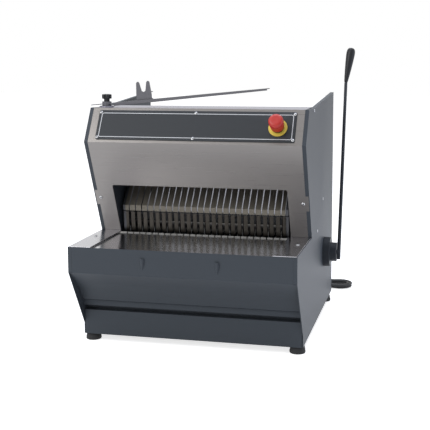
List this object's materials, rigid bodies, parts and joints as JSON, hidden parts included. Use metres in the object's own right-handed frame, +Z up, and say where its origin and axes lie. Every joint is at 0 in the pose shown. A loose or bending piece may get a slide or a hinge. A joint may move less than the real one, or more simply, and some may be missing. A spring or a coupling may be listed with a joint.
{
  "type": "bread slicer",
  "caption": "Table-top bread slicer with charcoal side panels, stainless hood, leaning blade frames, swinging comb pusher, hand lever, crumb drawer and bag holder",
  "frame": {"origin": "the middle of the lower face of the front left foot, in the plane that all four feet stand on", "axes": "+X to the right as seen from the front, where the lever is; +Y to the back; +Z up"},
  "size_m": [0.6826, 0.9764, 0.7906],
  "materials": {
    "paint_charcoal": "satin charcoal powder coat",
    "stainless_brushed": "brushed stainless sheet",
    "stainless_polished": "polished stainless sheet",
    "plate_dark": "smooth dark control plate",
    "inner_dark": "dark inner wall",
    "blade_steel": "ground blade strip",
    "machine_iron": "plain machined iron and steel",
    "screw_zinc": "zinc plated screw",
    "rubber_black": "black rubber",
    "plastic_black": "black moulded plastic",
    "plastic_red": "red moulded plastic",
    "plastic_yellow": "yellow printed disc",
    "cord_black": "black cord jacket"
  },
  "bodies": {
    "frame": {"base_pan": "paint_charcoal", "rubber_feet": "rubber_black", "left_side_panel": "paint_charcoal", "right_side_panel": "paint_charcoal", "front_fascia": "paint_charcoal", "drawer_lintel": "paint_charcoal", "drawer_runners": "stainless_brushed", "tray_bed": "stainless_polished", "tray_plate_left": "stainless_brushed", "tray_plate_right": "stainless_brushed", "tray_screws": "screw_zinc", "hood": "stainless_brushed", "hood_screws": "screw_zinc", "control_panel": "plate_dark", "panel_screws": "screw_zinc", "estop_ring": "plastic_yellow", "estop_body": "plastic_black", "top_cover": "stainless_polished", "rear_guard": "stainless_brushed", "rear_panel": "paint_charcoal", "feed_chute": "stainless_polished", "inner_wall_left": "inner_dark", "inner_wall_right": "inner_dark", "side_screws": "screw_zinc", "guide_blocks": "machine_iron", "crank_bearings": "machine_iron", "drive_belt": "rubber_black", "motor_body": "machine_iron", "motor_bracket": "paint_charcoal", "lever_flange": "paint_charcoal", "shaft_bearing": "machine_iron", "arm_stud": "stainless_brushed", "arm_washer": "stainless_brushed", "cord_gland": "plastic_black", "cord_stretch": "cord_black", "cord_hank": "cord_black", "cord_tie": "plastic_black", "cord_plug": "plastic_black"},
    "drawer": {"crumb_drawer": "paint_charcoal"},
    "stop_head": {"estop_head": "plastic_red"},
    "holder": {"bag_arm": "stainless_brushed", "bag_fork": "stainless_brushed", "fork_screws": "screw_zinc"},
    "knob": {"arm_knob": "plastic_black"},
    "crank": {"crankshaft": "machine_iron", "crank_pulley": "machine_iron"},
    "rods_front": {"conrods_a": "stainless_brushed"},
    "rods_back": {"conrods_b": "stainless_brushed"},
    "rotor": {"motor_rotor": "machine_iron"},
    "blades_front": {"frame_a": "machine_iron", "blades_a": "blade_steel"},
    "blades_back": {"frame_b": "machine_iron", "blades_b": "blade_steel"},
    "lever": {"lever_shaft": "stainless_brushed", "lever_hub": "paint_charcoal", "lever_bar": "paint_charcoal", "lever_grip": "plastic_black", "pusher_frame": "machine_iron", "pusher_plate": "stainless_brushed", "pusher_fingers": "stainless_polished"}
  },
  "joints": [
    {"name": "drawer_slide", "type": "slide", "parent": "frame", "child": "drawer", "axis": [0, -1, 0], "range_m": [0, 0.3]},
    {"name": "stop_push", "type": "slide", "parent": "frame", "child": "stop_head", "axis": [0, 0.8507, -0.5257], "range_m": [0, 0.006], "stiffness_N_per_m": 800},
    {"name": "bag_arm_swing", "type": "hinge", "parent": "frame", "child": "holder", "pos_m": [0.016, 0.091, 0.64], "axis": [0, 0, 1], "range_deg": [-90, 90]},
    {"name": "knob_turn", "type": "hinge", "parent": "frame", "child": "knob", "pos_m": [0.016, 0.091, 0.655], "axis": [0, 0, 1], "continuous": true},
    {"name": "crank_turn", "type": "hinge", "parent": "frame", "child": "crank", "pos_m": [0.282, 0.09509, 0.12066], "axis": [1, 0, 0], "continuous": true},
    {"name": "rods_front_turn", "type": "hinge", "parent": "crank", "child": "rods_front", "pos_m": [0.282, 0.08356, 0.12397], "axis": [1, 0, 0], "continuous": true},
    {"name": "rods_back_turn", "type": "hinge", "parent": "crank", "child": "rods_back", "pos_m": [0.282, 0.10663, 0.11736], "axis": [1, 0, 0], "continuous": true},
    {"name": "motor_turn", "type": "hinge", "parent": "frame", "child": "rotor", "pos_m": [0.282, 0.481, 0.1], "axis": [1, 0, 0], "continuous": true},
    {"name": "front_blades_stroke", "type": "slide", "parent": "frame", "child": "blades_front", "axis": [0, 0.2756, 0.9613], "range_m": [-0.012, 0.012]},
    {"name": "back_blades_stroke", "type": "slide", "parent": "frame", "child": "blades_back", "axis": [0, 0.2756, 0.9613], "range_m": [-0.012, 0.012]},
    {"name": "lever_swing", "type": "hinge", "parent": "frame", "child": "lever", "pos_m": [0.282, 0.397, 0.188], "axis": [-1, 0, 0], "range_deg": [0, 46]}
  ],
  "couplings": [
    {"joint": "rods_front_turn", "follows": "crank_turn", "ratio": -1},
    {"joint": "rods_back_turn", "follows": "crank_turn", "ratio": -1},
    {"joint": "motor_turn", "follows": "crank_turn", "ratio": 2},
    {"joint": "back_blades_stroke", "follows": "front_blades_stroke", "ratio": -1}
  ]
}
